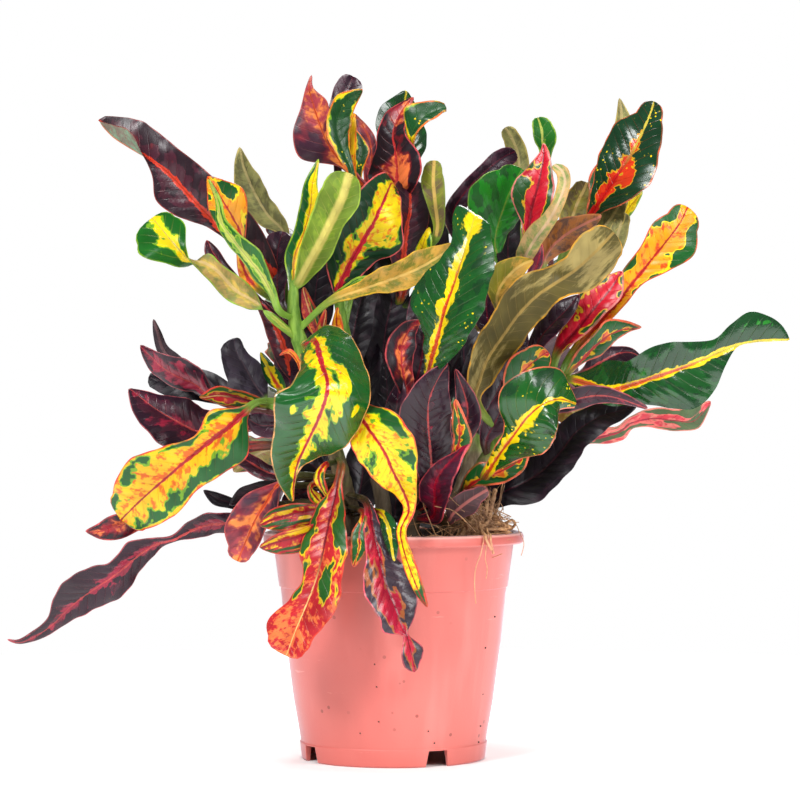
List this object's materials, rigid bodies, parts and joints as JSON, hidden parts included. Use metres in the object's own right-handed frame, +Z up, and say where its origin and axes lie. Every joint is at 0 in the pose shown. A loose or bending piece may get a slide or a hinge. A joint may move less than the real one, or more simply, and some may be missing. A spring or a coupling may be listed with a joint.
{
  "type": "potted croton",
  "caption": "Croton houseplant with twisted, waved and mottled leaves on several stems, standing in soil in a plain plastic nursery pot.",
  "frame": {"origin": "middle of the pot's foot, on the surface that it stands on", "axes": "+Z up, -Y towards the front of the plant, +X to the right seen from the front"},
  "size_m": [0.3785, 0.2234, 0.3427],
  "materials": {
    "pot_plastic": "salmon moulded polypropylene, faintly satin",
    "soil": "dark damp peat and bark",
    "root_fibre": "dry fibrous roots",
    "leaf": "glossy leathery leaves, green, yellow, red and dark purple",
    "stem": "green shoots over brown-green lower stems"
  },
  "bodies": {
    "root": {"pot": "pot_plastic", "soil": "soil", "roots": "root_fibre", "leafy_stem_front_left": "leaf", "leafy_stem_back_left": "leaf", "leafy_stem_middle_left": "leaf", "leafy_stem_middle_back": "leaf", "leafy_stem_right_back": "leaf", "leafy_stem_right_front": "leaf", "leafy_stem_middle_front": "leaf"}
  },
  "joints": []
}
